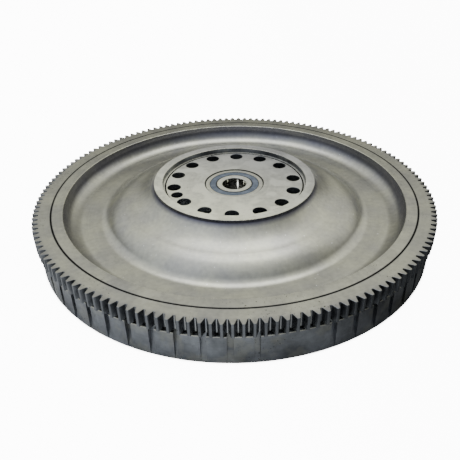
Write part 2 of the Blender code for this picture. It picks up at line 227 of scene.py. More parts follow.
def new_object(name, mesh, materials):
    obj = bpy.data.objects.new(name, mesh)
    bpy.context.scene.collection.objects.link(obj)
    for material in materials:
        mesh.materials.append(material)
    return obj


def place(obj, body, slot, *nodes):
    """The piece stands for these CAD nodes, on their body. The slot is not used."""
    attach(obj, body)
    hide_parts(*nodes)


def arc(centre, radius, start_deg, end_deg, count):
    """Points along an arc, with both of its ends."""
    angles = [
        math.radians(start_deg + (end_deg - start_deg) * i / (count - 1)) for i in range(count)
    ]
    return [
        (centre[0] + radius * math.cos(a), centre[1] + radius * math.sin(a)) for a in angles
    ]


def circle(radius, count, start=0.0):
    """Plane points round a circle, from the start angle on."""
    angles = [start + math.tau * i / count for i in range(count)]
    return [Vector((radius * math.cos(a), radius * math.sin(a))) for a in angles]


def arcs_onward(start, slope_deg, arcs):
    """Points along arcs that run outwards from start, each one starting where the last ends."""
    points = [start]
    slope = math.radians(slope_deg)
    for radius, end_deg, count in arcs:
        turn = math.radians(end_deg) - slope
        bend = math.copysign(radius, turn)
        x, z = points[-1]
        for i in range(1, count + 1):
            now = slope + turn * i / count
            along = bend * (math.sin(now) - math.sin(slope))
            up = bend * (math.cos(slope) - math.cos(now))
            points.append((x + along, z + up))
        slope += turn
    return points


def rounded(corners):
    """Rounds each (radius, height, rounding, finish) corner of a closed outline.

    Gives (radius, height, finish) points, where the finish is that of the stretch which
    follows the point. A small rounding is EDGE on its arc, unless the corner's finish is HOLE.
    """
    points = []
    for i, (x, z, rounding, finish) in enumerate(corners):
        if rounding == 0:
            points.append((x, z, finish))
            continue
        corner = Vector((x, z))
        back = Vector(corners[i - 1][:2]) - corner
        ahead = Vector(corners[(i + 1) % len(corners)][:2]) - corner
        half = back.angle(ahead) / 2
        reach = rounding / math.tan(half)
        first = corner + back.normalized() * reach
        last = corner + ahead.normalized() * reach
        middle = corner + (back.normalized() + ahead.normalized()).normalized() * (
            rounding / math.sin(half)
        )
        start, end = first - middle, last - middle
        turn = start.angle_signed(end)
        steps = max(3, round(abs(turn) * math.sqrt(rounding) * ARC_FINENESS))
        arc_finish = EDGE if rounding < BRIGHT_ROUNDING and finish != HOLE else finish
        for step in range(steps + 1):
            spot = middle + Matrix.Rotation(-turn * step / steps, 2) @ start
            points.append((spot.x, spot.y, finish if step == steps else arc_finish))
    return points


def turned(name, points, steps, materials, closed=True):
    """A profile of (radius, height, finish) points, turned round the vertical axis."""
    bm = bmesh.new()
    rings = []
    for radius, height, _ in points:
        if radius == 0:
            rings.append([bm.verts.new((0.0, 0.0, height))] * steps)
            continue
        rings.append([bm.verts.new((*point, height)) for point in circle(radius, steps)])
    pairs = len(points) if closed else len(points) - 1
    for k in range(pairs):
        upper, lower = rings[k], rings[(k + 1) % len(points)]
        for i in range(steps):
            j = (i + 1) % steps
            corners = dict.fromkeys((upper[i], lower[i], lower[j], upper[j]))
            bm.faces.new(tuple(corners)).material_index = points[k][2]
    bmesh.ops.recalc_face_normals(bm, faces=bm.faces)
    mesh = bpy.data.meshes.new(name)
    bm.to_mesh(mesh)
    bm.free()
    return new_object(name, mesh, materials)


def about_axis(angle, radius, height):
    """The frame of a spot at this angle, distance and height, turned with the angle."""
    return Matrix.Rotation(angle, 4, "Z") @ Matrix.Translation((radius, 0.0, height))


def loft(bm, sections):
    """Joins closed sections of equal length into a solid, and caps its ends."""
    rings = [[bm.verts.new(point) for point in section] for section in sections]
    for lower, upper in zip(rings, rings[1:]):
        for i in range(len(lower)):
            j = (i + 1) % len(lower)
            bm.faces.new((lower[i], lower[j], upper[j], upper[i]))
    bm.faces.new(tuple(reversed(rings[0])))
    bm.faces.new(tuple(rings[-1]))


def cut(obj, bm, finish):
    """Takes a cutter's solids out of the object. The walls that it leaves get the finish."""
    bmesh.ops.recalc_face_normals(bm, faces=bm.faces)
    for face in bm.faces:
        face.material_index = finish
    mesh = bpy.data.meshes.new("cutter")
    bm.to_mesh(mesh)
    bm.free()
    for material in obj.data.materials:
        mesh.materials.append(material)
    cutter = bpy.data.objects.new("cutter", mesh)
    bpy.context.scene.collection.objects.link(cutter)
    modifier = obj.modifiers.new("cut", "BOOLEAN")
    modifier.operation = "DIFFERENCE"
    modifier.solver = "EXACT"
    modifier.object = cutter
    bpy.context.view_layer.update()
    shape = obj.evaluated_get(bpy.context.evaluated_depsgraph_get())
    result = bpy.data.meshes.new_from_object(shape)
    obj.modifiers.clear()
    obj.data = result
    bpy.data.objects.remove(cutter)


def drill(bm, angle, distance, heights_and_radii, sides):
    """A round upright cutter, at an angle and a distance from the axis, as a lofted outline."""
    sections = []
    for height, radius in heights_and_radii:
        middle = about_axis(angle, distance, height)
        sections.append([middle @ point.to_3d() for point in circle(radius, sides)])
    loft(bm, sections)


# ---------------------------------------------------------------- the disc


def rim_corners():
    seat = GEAR_BORE_RADIUS - GAP
    return [
        (seat, RIM_TOP_Z, BORE_EDGE, HOLE),
        (seat, SHOULDER_Z, 0, SIDE),
        (GEAR_SHOULDER_RADIUS, SHOULDER_Z, MEDIUM, SIDE),
        (GEAR_SHOULDER_RADIUS, LOWER_RIM_TOP_Z, 0, SIDE),
        (RIM_RADIUS, LOWER_RIM_TOP_Z, RIM_OUTER_ROUNDING, SIDE),
        (RIM_RADIUS, 0.0, BROAD, TURNED),
    ]


def clutch_side_corners():
    return [
        (COVER_FACE_INNER_RADIUS, 0.0, SMALL, TURNED),
        (COVER_FACE_INNER_RADIUS, FRICTION_GROOVE_DEPTH, 0, TURNED),
        (FRICTION_OUTER_RADIUS, FRICTION_GROOVE_DEPTH, 0, TURNED),
        (FRICTION_OUTER_RADIUS, 0.0, SMALL, TURNED),
        (POCKET_RADIUS + POCKET_CHAMFER, 0.0, BROAD, TURNED),
        (POCKET_RADIUS, POCKET_CHAMFER, BROAD, CAST),
        (POCKET_RADIUS - POCKET_DRAFT, POCKET_CEILING_Z, POCKET_FILLET, CAST),
        (SHOULDER_RADIUS, POCKET_CEILING_Z, BROAD, TURNED),
    ]


def hub_corners():
    seat = BEARING_RADIUS + GAP
    relief_inner = RELIEF_OUTER_RADIUS - RELIEF_WIDTH
    relief_floor = HUB_FACE_Z - RELIEF_DEPTH
    seat_floor = ring_low.z - GAP
    return [
        (SHOULDER_RADIUS, seat_floor, SMALL, TURNED),
        (seat, seat_floor, 0, SIDE),
        (seat, HUB_FACE_Z - SEAT_CHAMFER, 0, HOLE),
        (seat + SEAT_CHAMFER, HUB_FACE_Z, 0, HUB),
        (relief_inner, HUB_FACE_Z, FINE, HOLE),
        (relief_inner, relief_floor, SMALL, HOLE),
        (RELIEF_OUTER_RADIUS, relief_floor, SMALL, HOLE),
        (RELIEF_OUTER_RADIUS, HUB_FACE_Z, FINE, HUB),
        (HUB_RECESS_RADIUS, HUB_FACE_Z, SMALL, SIDE),
        (HUB_RECESS_RADIUS, HUB_LIP_Z, MEDIUM, HUB),
        (HUB_LIP_RADIUS, HUB_LIP_Z, MEDIUM, SATIN),
    ]


def dish_corners():
    under_lip = (HUB_LIP_RADIUS, HUB_LIP_Z - HUB_LIP_DROP)
    slope = [(x, z, 0, SATIN) for x, z in arcs_onward(under_lip, -90.0, SLOPE_ARCS)]
    floor_z = slope[-1][1]
    return slope + [
        (RIM_INNER_RADIUS, floor_z, DISH_FILLET, SATIN),
        (RIM_INNER_RADIUS, RIM_TOP_Z, RIM_INNER_ROUNDING, TURNED),
    ]


def bolt_angles():
    """Seven angles each way from the middle of one of the two wider gaps."""
    first = BOLT_ARC_GAP_DEG / 2
    steps = [first + BOLT_PITCH_DEG * i for i in range(BOLTS_PER_ARC)]
    return [math.radians(BOLT_GAP_ANGLE_DEG + side * step) for side in (1, -1) for step in steps]


def drill_hub(disc):
    """The bolt holes and the dowel hole, with small chamfers on both faces."""
    bm = bmesh.new()
    dowel_angle = math.radians(BOLT_GAP_ANGLE_DEG + 180.0)
    holes = [(angle, BOLT_HOLE_RADIUS) for angle in bolt_angles()]
    holes.append((dowel_angle, DOWEL_HOLE_RADIUS))
    for angle, radius in holes:
        wide = radius + HOLE_CHAMFER + CONE_OVERRUN
        profile = [
            (POCKET_CEILING_Z - CONE_OVERRUN, wide),
            (POCKET_CEILING_Z + HOLE_CHAMFER, radius),
            (HUB_FACE_Z - HOLE_CHAMFER, radius),
            (HUB_FACE_Z + CONE_OVERRUN, wide),
        ]
        drill(bm, angle, BOLT_CIRCLE_RADIUS, profile, HOLE_SIDES)
    cut(disc, bm, SIDE)


def drill_cover_holes(disc):
    """Blind holes with thread ridges and a countersink, on the clutch side."""
    core = COVER_HOLE_RADIUS - THREAD_DEPTH
    profile = [(-CONE_OVERRUN, COVER_HOLE_RADIUS + CONE_OVERRUN)]
    turns = int((COVER_HOLE_DEPTH - 2 * THREAD_PITCH) / THREAD_PITCH)
    for i in range(turns):
        height = THREAD_DEPTH + THREAD_PITCH * i
        groove = (height + THREAD_PITCH / 2, COVER_HOLE_RADIUS - THREAD_CLEARANCE)
        profile += [(height, core), groove]
    profile += [(COVER_HOLE_DEPTH - core / 2, core), (COVER_HOLE_DEPTH, core / 4)]
    bm = bmesh.new()
    for i in range(COVER_HOLES):
        angle = math.radians(COVER_HOLE_ANGLE_DEG) + math.tau * i / COVER_HOLES
        drill(bm, angle, COVER_CIRCLE_RADIUS, profile, COVER_HOLE_SIDES)
    cut(disc, bm, HOLE)


def slot_section(height, floor_radius):
    """Across a slot: its floor, its walls and a small flare where they meet the rim's face."""
    half = SLOT_WIDTH / 2
    beyond = RIM_RADIUS + OVERRUN
    edge = RIM_RADIUS - SLOT_FLARE
    flare = half + SLOT_FLARE + OVERRUN
    outline = [
        (floor_radius, -half),
        (floor_radius, half),
        (max(edge, floor_radius + SLOT_FLARE), half),
        (beyond, flare),
        (beyond, -flare),
        (max(edge, floor_radius + SLOT_FLARE), -half),
    ]
    return [Vector((x, y, height)) for x, y in outline]


def mill_slots(disc):
    """Slots that get shallower towards the clutch side."""
    lean = (SLOT_TOP_DEPTH - SLOT_BOTTOM_DEPTH) / LOWER_RIM_TOP_Z
    low, high = -OVERRUN, LOWER_RIM_TOP_Z + OVERRUN
    bm = bmesh.new()
    for i in range(SLOT_POSITIONS):
        if i % SLOT_THIRD in SLOTS_LEFT_OUT:
            continue
        angle = math.radians(SLOT_ANGLE_DEG) + math.tau * i / SLOT_POSITIONS
        sections = []
        for height in (low, high):
            floor_radius = RIM_RADIUS - SLOT_BOTTOM_DEPTH - lean * height
            turn = Matrix.Rotation(angle, 4, "Z")
            sections.append([turn @ point for point in slot_section(height, floor_radius)])
        loft(bm, sections)
    cut(disc, bm, SIDE)


def make_disc(finishes):
    corners = rim_corners() + clutch_side_corners() + hub_corners() + dish_corners()
    disc = turned("disc_casting", rounded(corners), DISC_STEPS, finishes)
    drill_hub(disc)
    drill_cover_holes(disc)
    mill_slots(disc)
    settle(disc)
    place(disc, "flywheel", "machined_iron", "flywheel_disc")


# ---------------------------------------------------------------- the ring gear


def half_thickness(radius):
    """Half of the angle that a tooth spans at this radius, on an involute flank."""
    base = PITCH_RADIUS * math.cos(PRESSURE_ANGLE)
    here = math.acos(base / radius)
    involute = math.tan(PRESSURE_ANGLE) - PRESSURE_ANGLE - (math.tan(here) - here)
    return math.pi / (2 * TEETH) + involute


def tooth_flank():
    """One flank from the middle of the space to the tip, as (radius, half angle) points."""
    root = PITCH_RADIUS - DEDENDUM * MODULE
    tip = PITCH_RADIUS + MODULE
    start = root + ROOT_FILLET
    space = math.pi / TEETH
    wall = half_thickness(start)
    middle = wall + ROOT_FILLET / root
    fillet_angles = [math.radians(90 * i / ROOT_FILLET_STEPS) for i in range(ROOT_FILLET_STEPS + 1)]
    fillet = [
        (start - ROOT_FILLET * math.sin(a), middle - ROOT_FILLET / root * math.cos(a))
        for a in reversed(fillet_angles)
    ]
    rise = tip - TOOTH_EDGE - start
    heights = [start + rise * i / FLANK_STEPS for i in range(1, FLANK_STEPS + 1)]
    flank = [(radius, half_thickness(radius)) for radius in heights]
    land = half_thickness(tip) - TOOTH_EDGE / tip
    return [(root, (space + middle) / 2), *fillet, *flank, (tip, land)]


def gear_outline():
    """All the teeth as plane points, and the number of points in a tooth."""
    flank = tooth_flank()
    tooth = [(radius, -half) for radius, half in flank]
    tooth += [(radius, half) for radius, half in reversed(flank)]
    outline = []
    for i in range(TEETH):
        middle = GEAR_PHASE + math.tau * i / TEETH
        for radius, turn in tooth:
            angle = middle + turn
            outline.append(Vector((radius * math.cos(angle), radius * math.sin(angle))))
    return outline, len(tooth)


def inset(outline, distance):
    """The outline, moved in by a distance along its own normals."""
    moved = []
    for i, point in enumerate(outline):
        ahead = outline[(i + 1) % len(outline)] - outline[i - 1]
        inward = Vector((-ahead.y, ahead.x)).normalized()
        moved.append(point + inward * distance)
    return moved


def vertex_rings(bm, points_at, edge):
    """Four rings of vertices up the gear, set back by the edge's width at both faces."""
    low, high = gear_low.z, gear_high.z
    rings = []
    for height, set_back in ((low, edge), (low + edge, 0), (high - edge, 0), (high, edge)):
        rings.append([bm.verts.new((*point, height)) for point in points_at(set_back)])
    return rings


def add_walls(bm, rings, finish_at):
    """Faces from ring to ring. The finish depends on the level and the place in the ring."""
    for level, (lower, upper) in enumerate(zip(rings, rings[1:])):
        for i in range(len(lower)):
            j = (i + 1) % len(lower)
            face = bm.faces.new((lower[i], lower[j], upper[j], upper[i]))
            face.material_index = finish_at(level, i)


def add_gear_face(bm, height, teeth, bore, start):
    """A flat face: a ring of quads round the bore, and a polygon for each tooth outside it."""
    count = len(bore)
    per_tooth = len(teeth) // TEETH
    ring = [bm.verts.new((*p, height)) for p in circle(GEAR_FACE_SPLIT_RADIUS, count, start)]
    for i in range(count):
        j = (i + 1) % count
        bm.faces.new((bore[i], ring[i], ring[j], bore[j])).material_index = TURNED
    for i in range(TEETH):
        first = i * BORE_POINTS_PER_TOOTH
        inner = [ring[(first + k) % count] for k in range(BORE_POINTS_PER_TOOTH + 1)]
        outer = teeth[i * per_tooth : (i + 1) * per_tooth]
        following = teeth[(i + 1) * per_tooth % len(teeth)]
        bm.faces.new((*outer, following, *reversed(inner))).material_index = TURNED


def make_ring_gear(finishes):
    outline, per_tooth = gear_outline()
    count = TEETH * BORE_POINTS_PER_TOOTH
    start = GEAR_PHASE - math.pi / TEETH
    tip_land = per_tooth // 2 - 1
    roots = (0, per_tooth - 1, per_tooth - 2)

    def tooth_finish(level, i):
        if level != 1:
            return EDGE
        spot = i % per_tooth
        return SATIN if spot == tip_land else SIDE if spot in roots else CAST

    bm = bmesh.new()
    teeth = vertex_rings(bm, lambda edge: inset(outline, edge), TOOTH_EDGE)
    bore = vertex_rings(bm, lambda edge: circle(GEAR_BORE_RADIUS + edge, count, start), BORE_EDGE)
    add_walls(bm, teeth, tooth_finish)
    add_walls(bm, bore, lambda level, i: HOLE)
    add_gear_face(bm, gear_low.z, teeth[0], bore[0], start)
    add_gear_face(bm, gear_high.z, teeth[-1], bore[-1], start)
    bmesh.ops.recalc_face_normals(bm, faces=bm.faces)
    mesh = bpy.data.meshes.new("starter_ring_gear")
    bm.to_mesh(mesh)
    bm.free()
    gear = new_object("starter_ring_gear", mesh, finishes)
    settle(gear)
    place(gear, "flywheel", "gear_steel", "ring_gear")


# ---------------------------------------------------------------- the pilot bearing


def make_outer_ring(finishes):
    top, bottom = BEARING_TOP_Z, BEARING_TOP_Z - 2 * HALF_WIDTH
    groove = math.degrees(math.acos((OUTER_LAND_RADIUS - BALL_PITCH_RADIUS) / RACE_RADIUS))
    middle = (BALL_PITCH_RADIUS, BEARING_MID_Z)
    race = arc(middle, RACE_RADIUS, -groove, groove, RACE_POINTS)
    corners = [
        (BEARING_RADIUS, top, BEARING_CHAMFER, TURNED),
        (BEARING_RADIUS, bottom, BEARING_CHAMFER, TURNED),
        (SEAL_SEAT_OUTER_RADIUS, bottom, FINE, TURNED),
        (SEAL_SEAT_OUTER_RADIUS, bottom + SEAL_SEAT_DEPTH, 0, TURNED),
        (OUTER_LAND_RADIUS, bottom + SEAL_SEAT_DEPTH, FINE, TURNED),
        *((x, z, 0, SATIN) for x, z in race),
        (OUTER_LAND_RADIUS, top - SEAL_SEAT_DEPTH, FINE, TURNED),
        (SEAL_SEAT_OUTER_RADIUS, top - SEAL_SEAT_DEPTH, 0, TURNED),
        (SEAL_SEAT_OUTER_RADIUS, top, FINE, TURNED),
    ]
    ring = turned("outer_race_ring", rounded(corners), BEARING_STEPS, finishes)
    settle(ring)
    place(ring, "flywheel", "bearing_steel", "bearing_outer_ring")


def make_inner_ring(finishes):
    top, bottom = BEARING_TOP_Z, BEARING_TOP_Z - 2 * HALF_WIDTH
    groove = math.degrees(math.acos((BALL_PITCH_RADIUS - INNER_LAND_RADIUS) / RACE_RADIUS))
    middle = (BALL_PITCH_RADIUS, BEARING_MID_Z)
    race = arc(middle, RACE_RADIUS, 180 - groove, 180 + groove, RACE_POINTS)
    corners = [
        (SEAL_SEAT_INNER_RADIUS, top, FINE, TURNED),
        (SEAL_SEAT_INNER_RADIUS, top - SEAL_SEAT_DEPTH, 0, TURNED),
        (INNER_LAND_RADIUS, top - SEAL_SEAT_DEPTH, FINE, TURNED),
        *((x, z, 0, SATIN) for x, z in race),
        (INNER_LAND_RADIUS, bottom + SEAL_SEAT_DEPTH, FINE, TURNED),
        (SEAL_SEAT_INNER_RADIUS, bottom + SEAL_SEAT_DEPTH, 0, TURNED),
        (SEAL_SEAT_INNER_RADIUS, bottom, FINE, TURNED),
        (BORE_RADIUS, bottom, BEARING_CHAMFER, SATIN),
        (BORE_RADIUS, top, BEARING_CHAMFER, TURNED),
    ]
    ring = turned("inner_race_ring", rounded(corners), BEARING_STEPS, finishes)
    settle(ring)
    place(ring, "inner_ring", "bearing_steel", "bearing_inner_ring")


def make_seal(name, side, finishes, node):
    """A rubber-faced seal with a shallow ring pressed in it and a lip on the inner ring."""
    outer = SEAL_SEAT_OUTER_RADIUS - GAP
    inner = SEAL_SEAT_INNER_RADIUS + GAP
    top = HALF_WIDTH - SEAL_RECESS
    dip = top - SEAL_GROOVE_DEPTH
    corners = [
        (outer, top - SEAL_EDGE, FINE, HOLE),
        (outer, top - SEAL_THICKNESS, FINE, TURNED),
        (inner + SEAL_LIP, top - SEAL_THICKNESS, FINE, TURNED),
        (inner, top - SEAL_THICKNESS / 2, FINE, TURNED),
        (inner, top - SEAL_EDGE, SEAL_LIP_ROUNDING, HOLE),
        (inner + SEAL_LIP, top - SEAL_EDGE, FINE, HOLE),
        (inner + SEAL_LIP + SEAL_EDGE, top, FINE, TURNED),
        (SEAL_GROOVE_RADIUS - SEAL_GROOVE_DEPTH, top, FINE, TURNED),
        (SEAL_GROOVE_RADIUS, dip, FINE, TURNED),
        (SEAL_GROOVE_RADIUS + SEAL_GROOVE_WIDTH, dip, FINE, TURNED),
        (SEAL_GROOVE_RADIUS + SEAL_GROOVE_WIDTH + SEAL_GROOVE_DEPTH, top, FINE, TURNED),
        (outer - SEAL_EDGE, top, SMALL, HOLE),
    ]
    points = [(x, BEARING_MID_Z + side * z, finish) for x, z, finish in rounded(corners)]
    seal = turned(name, points, BEARING_STEPS, finishes)
    settle(seal)
    place(seal, "flywheel", "seal_rubber", node)


def moved(obj, angle, radius):
    """Puts a piece that was made on the axis at its place on the ball circle."""
    obj.data.transform(about_axis(angle, radius, BEARING_MID_Z))


def make_balls(finishes):
    outline = [(x, z, TURNED) for x, z in arc((0.0, 0.0), BALL_RADIUS, 90, -90, BALL_POINTS)]
    outline[0] = (0, BALL_RADIUS, TURNED)
    outline[-1] = (0, -BALL_RADIUS, TURNED)
    for i in range(BALLS):
        ball = turned(f"rolling_ball_{i + 1}", outline, BALL_STEPS, finishes, closed=False)
        moved(ball, math.tau * i / BALLS, BALL_PITCH_RADIUS)
        settle(ball)
        place(ball, f"ball_{i + 1}", "ball_steel", f"bearing_ball_{i + 1}")


def cage_wave():
    """(angle, height) round one cage half: over each ball, then flat to the next one."""
    spacing = math.tau / BALLS
    points = []
    for i in range(BALLS):
        for step in range(POCKET_SEGMENTS + 1):
            turn = math.pi * (1 - step / POCKET_SEGMENTS)
            along = CAGE_POCKET_RADIUS * math.cos(turn)
            height = max(CAGE_POCKET_RADIUS * math.sin(turn), CAGE_HALF_GAP)
            points.append((spacing * i + along / BALL_PITCH_RADIUS, height))
        start = spacing * i + CAGE_POCKET_RADIUS / BALL_PITCH_RADIUS
        flat = spacing - 2 * CAGE_POCKET_RADIUS / BALL_PITCH_RADIUS
        for step in range(1, LINK_SEGMENTS):
            points.append((start + flat * step / LINK_SEGMENTS, CAGE_HALF_GAP))
    return points


def make_cage_half(name, side, finishes, node):
    """Pressed sheet that arches over the balls, with rivet holes in its flats."""
    bm = bmesh.new()
    rows = []
    for angle, height in cage_wave():
        inner = bm.verts.new(about_axis(angle, CAGE_INNER_RADIUS, height).translation)
        outer = bm.verts.new(about_axis(angle, CAGE_OUTER_RADIUS, height).translation)
        rows.append((inner, outer))
    for (inner, outer), (next_inner, next_outer) in zip(rows, rows[1:] + rows[:1]):
        bm.faces.new((inner, next_inner, next_outer, outer))
    bmesh.ops.recalc_face_normals(bm, faces=bm.faces)
    bm.faces.ensure_lookup_table()
    if bm.faces[POCKET_SEGMENTS + 1].normal.z < 0:
        bmesh.ops.reverse_faces(bm, faces=bm.faces)
    mesh = bpy.data.meshes.new(name)
    bm.to_mesh(mesh)
    bm.free()
    half = new_object(name, mesh, finishes)
    sheet = half.modifiers.new("sheet", "SOLIDIFY")
    sheet.thickness = CAGE_SHEET
    sheet.offset = 1.0
    sheet.use_even_offset = True
    edges = half.modifiers.new("edges", "BEVEL")
    edges.width = CAGE_EDGE
    edges.segments = 2
    edges.limit_method = "ANGLE"
    edges.angle_limit = CAGE_EDGE_ANGLE
    holes = bmesh.new()
    for i in range(BALLS):
        reach = [(z, RIVET_HOLE_RADIUS) for z in (-BALL_RADIUS / 2, BALL_RADIUS / 2)]
        drill(holes, math.tau * (i + 0.5) / BALLS, BALL_PITCH_RADIUS, reach, RIVET_STEPS)
    cut(half, holes, TURNED)
    half.data.transform(Matrix.Rotation(0.0 if side > 0 else math.pi, 4, "X"))
    moved(half, 0.0, 0.0)
    settle(half)
    place(half, "cage", "cage_steel", node)


def make_rivets(finishes):
    """Rivets with two domed heads, through both halves of the cage."""
    seat = CAGE_HALF_GAP + CAGE_SHEET + GAP
    dome = [
        (RIVET_HEAD_RADIUS * x, seat + RIVET_HEAD_HEIGHT * z)
        for x, z in arc((0.0, 0.0), 1.0, 90, 0, RIVET_DOME_STEPS + 1)
    ]
    dome[0] = (0, seat + RIVET_HEAD_HEIGHT)
    upper = dome + [(RIVET_RADIUS, seat)]
    outline = [(x, z, TURNED) for x, z in upper]
    outline += [(x, -z, TURNED) for x, z in reversed(upper)]
    for i in range(BALLS):
        rivet = turned(f"cage_pin_{i + 1}", outline, RIVET_STEPS, finishes, closed=False)
        moved(rivet, math.tau * (i + 0.5) / BALLS, BALL_PITCH_RADIUS)
        settle(rivet)
        place(rivet, "cage", "cage_steel", f"cage_rivet_{i + 1}")


# ---------------------------------------------------------------- materials


WHITE = (1.0, 1.0, 1.0)
WARM = (1.0, 1.0, 0.83)
COOL = (1.0, 1.0, 0.93)
BLUE = (0.93, 0.99, 1.06)
RUST = (0.16, 0.085, 0.045, 1.0)

STAIN_LIFT = 1.25  # a stain's tone, against the surface's light tone
NICK_TONE = 0.9
PIT_TONE = 0.05
PIT_DEPTH = 3.0  # against the height of the turned rings
PIT_ROUGHNESS = 0.3
DARKENING_BLUE_POWER = 0.75  # under 1, so the darkening and painted shade take less blue than red and green
PAINTED_SHADE_TOWARDS = (0.5, 1.0, 0.0)  # towards the darker end of the hub face's painted light and shade
PAINTED_SHADE_LEAST = 0.5
RING_DRIFT = 1.2  # how much the rings' pattern changes on the way round
SCALE_TONES = (0.11, 0.22)
SCALE_WORN_TONE = 0.4
SEAL_FACE_COLOURS = (0.11, 0.14, 0.19, 1.0), (0.23, 0.27, 0.33, 1.0)
# Painted shade: near-black rubber at the seal's lip and outer edge, where it meets the rings
SEAL_GAP_SHADE_COLOURS = (0.02, 0.025, 0.03, 1.0), (0.05, 0.055, 0.06, 1.0)


def grey(value, tint=WHITE):
    return (*(value * t for t in tint), 1.0)


class Nodes:
    """Short ways to add nodes to the tree of a material or a world."""

    def __init__(self, owner):
        self.owner = owner
        owner.use_nodes = True
        self.tree = owner.node_tree
        self.shader = self.tree.nodes.get("Principled BSDF")

    def put(self, node, socket, value):
        if isinstance(value, bpy.types.NodeSocket):
            self.tree.links.new(value, node.inputs[socket])
        else:
            node.inputs[socket].default_value = value

    def add(self, kind, **inputs):
        node = self.tree.nodes.new(kind)
        for socket, value in inputs.items():
            self.put(node, socket.replace("_", " "), value)
        return node

    def math(self, operation, first, second=0.0):
        node = self.tree.nodes.new("ShaderNodeMath")
        node.operation = operation
        self.put(node, 0, first)
        self.put(node, 1, second)
        return node.outputs[0]

    def vector(self, operation, first, second=(0.0, 0.0, 0.0)):
        node = self.tree.nodes.new("ShaderNodeVectorMath")
        node.operation = operation
        self.put(node, 0, first)
        self.put(node, 1, second)
        return node.outputs["Value" if operation in ("LENGTH", "DOT_PRODUCT") else "Vector"]

    def noise(self, vector, scale, detail=3.0):
        node = self.add("ShaderNodeTexNoise", Vector=vector, Scale=scale, Detail=detail)
        return node.outputs["Fac"]

    def spread(self, value, low, high, to_low=0.0, to_high=1.0):
        """The value's range from low to high, stretched over the other range and cut off there."""
        node = self.add("ShaderNodeMapRange", Value=value, From_Min=low, From_Max=high)
        self.put(node, "To Min", to_low)
        self.put(node, "To Max", to_high)
        return node.outputs[0]

    def patches(self, vector, scale, detail, low, high, most=1.0):
        """Patches that rise from nothing to most where the noise goes from low to high."""
        return self.spread(self.noise(vector, scale, detail), low, high, 0.0, most)

    def mix(self, share, first, second, blend="MIX"):
        node = self.tree.nodes.new("ShaderNodeMix")
        node.data_type = "RGBA"
        node.blend_type = blend
        self.put(node, 0, share)
        self.put(node, 6, first)
        self.put(node, 7, second)
        return node.outputs[2]

    def dim(self, colour, level, blue=None):
        """The colour times a level from 0 to 1. Its blue can have a level of its own."""
        blue = level if blue is None else blue
        levels = self.add("ShaderNodeCombineColor", Red=level, Green=level, Blue=blue)
        return self.mix(1.0, colour, levels.outputs[0], "MULTIPLY")

    def spot(self):
        """Coordinates that are fixed to the object."""
        return self.add("ShaderNodeTexCoord").outputs["Object"]

    def spot_and_rings(self, pitch):
        """Object coordinates, the radius, and coordinates that only change across the rings."""
        spot = self.spot()
        flat = self.vector("MULTIPLY", spot, (1.0, 1.0, 0.0))
        radius = self.vector("LENGTH", flat)
        height = self.add("ShaderNodeSeparateXYZ", Vector=spot).outputs["Z"]
        across = self.math("DIVIDE", self.math("ADD", radius, height), pitch)
        heading = self.vector("NORMALIZE", flat)
        heading = self.vector("MULTIPLY", heading, (RING_DRIFT, RING_DRIFT, 0.0))
        step = self.add("ShaderNodeCombineXYZ", Z=across).outputs[0]
        return spot, radius, self.vector("ADD", heading, step)

    def surface(self, colour, roughness, metallic):
        self.put(self.shader, "Base Color", colour)
        self.put(self.shader, "Roughness", roughness)
        self.put(self.shader, "Metallic", metallic)

    def relief(self, height, depth):
        bump = self.add("ShaderNodeBump", Height=height, Strength=1.0, Distance=depth)
        self.put(self.shader, "Normal", bump.outputs[0])


def new_material(name):
    return Nodes(bpy.data.materials.new(name))


